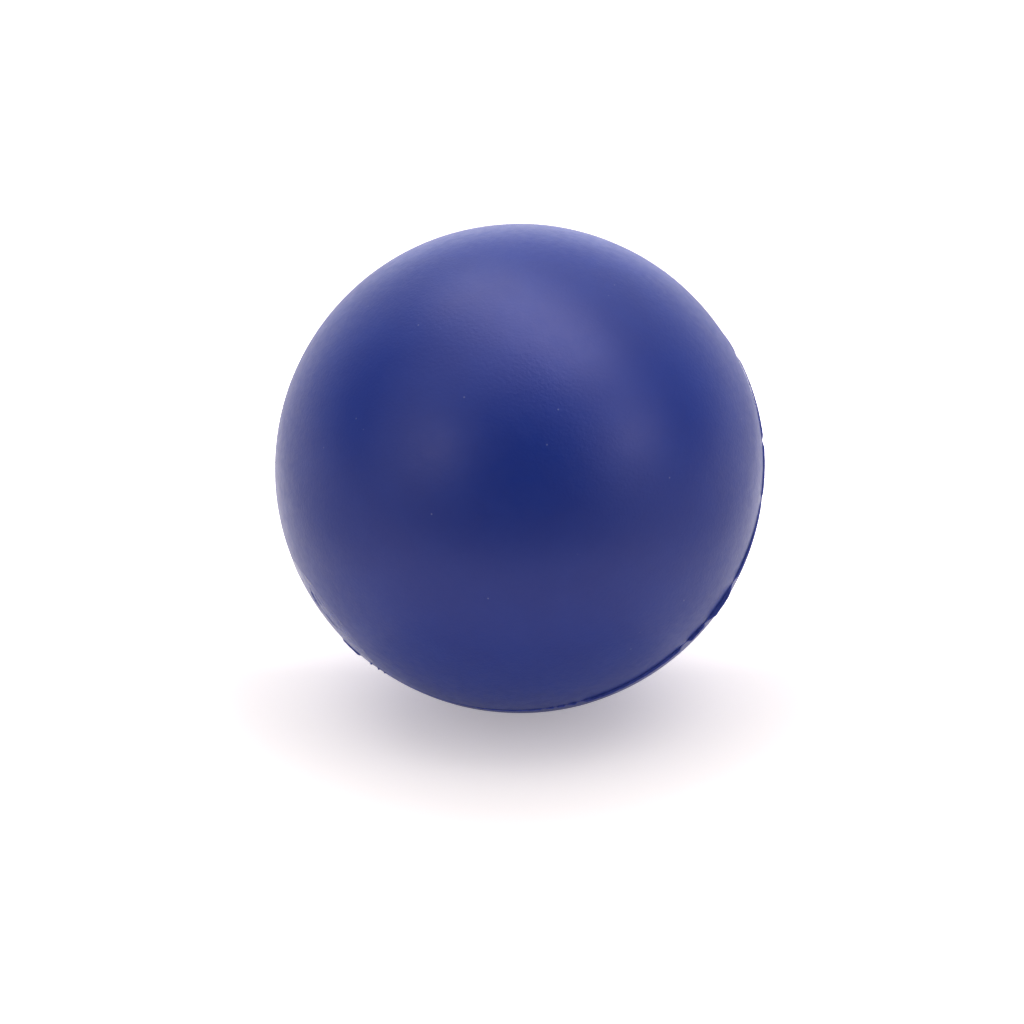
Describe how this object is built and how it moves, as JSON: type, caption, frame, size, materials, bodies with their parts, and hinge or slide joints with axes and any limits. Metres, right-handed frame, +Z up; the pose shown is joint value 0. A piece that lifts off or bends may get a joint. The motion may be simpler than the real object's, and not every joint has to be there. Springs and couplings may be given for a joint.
{
  "type": "stress ball",
  "caption": "Palm-sized soft foam ball with a smooth satin skin in two moulded halves, a roughly trimmed parting line and a touched-up pour gate; squeezes flatter and springs back.",
  "frame": {"origin": "on the table, at the centre of the small flat that the ball's own weight presses into its underside", "axes": "+Z up; the two mould halves face -Y and +Y, with the front half's pole on the -Y side, 33 degrees above the table; +X to the right seen from the front"},
  "size_m": [0.0633, 0.063, 0.0626],
  "materials": {
    "skin": "satin royal blue self-skinned polyurethane with a very fine moulded grain",
    "flash": "the same blue skin as a thin moulded fin, with a torn and knife-trimmed edge",
    "foam": "matt, fine-celled flexible polyurethane foam",
    "touch_up_paint": "brushed-on flexible blue paint, wrinkled as it dried"
  },
  "bodies": {
    "core": {"foam_core": "foam", "seam_flash": "flash", "flash_fins": "flash", "gate_stub": "foam", "gate_touch_up": "touch_up_paint"},
    "front_half": {"front_skin": "skin"},
    "rear_half": {"rear_skin": "skin"}
  },
  "joints": [
    {"name": "front_squeeze", "type": "slide", "parent": "core", "child": "front_half", "axis": [0, 0.8387, -0.5446], "range_m": [0, 0.012], "stiffness_N_per_m": 2500, "deforming": ["front_skin", "foam_core", "seam_flash"]},
    {"name": "rear_squeeze", "type": "slide", "parent": "core", "child": "rear_half", "axis": [0, -0.8387, 0.5446], "range_m": [0, 0.012], "stiffness_N_per_m": 2500, "deforming": ["rear_skin", "flash_fins", "gate_stub", "gate_touch_up"]}
  ],
  "couplings": [
    {"joint": "rear_squeeze", "follows": "front_squeeze", "ratio": 1}
  ]
}
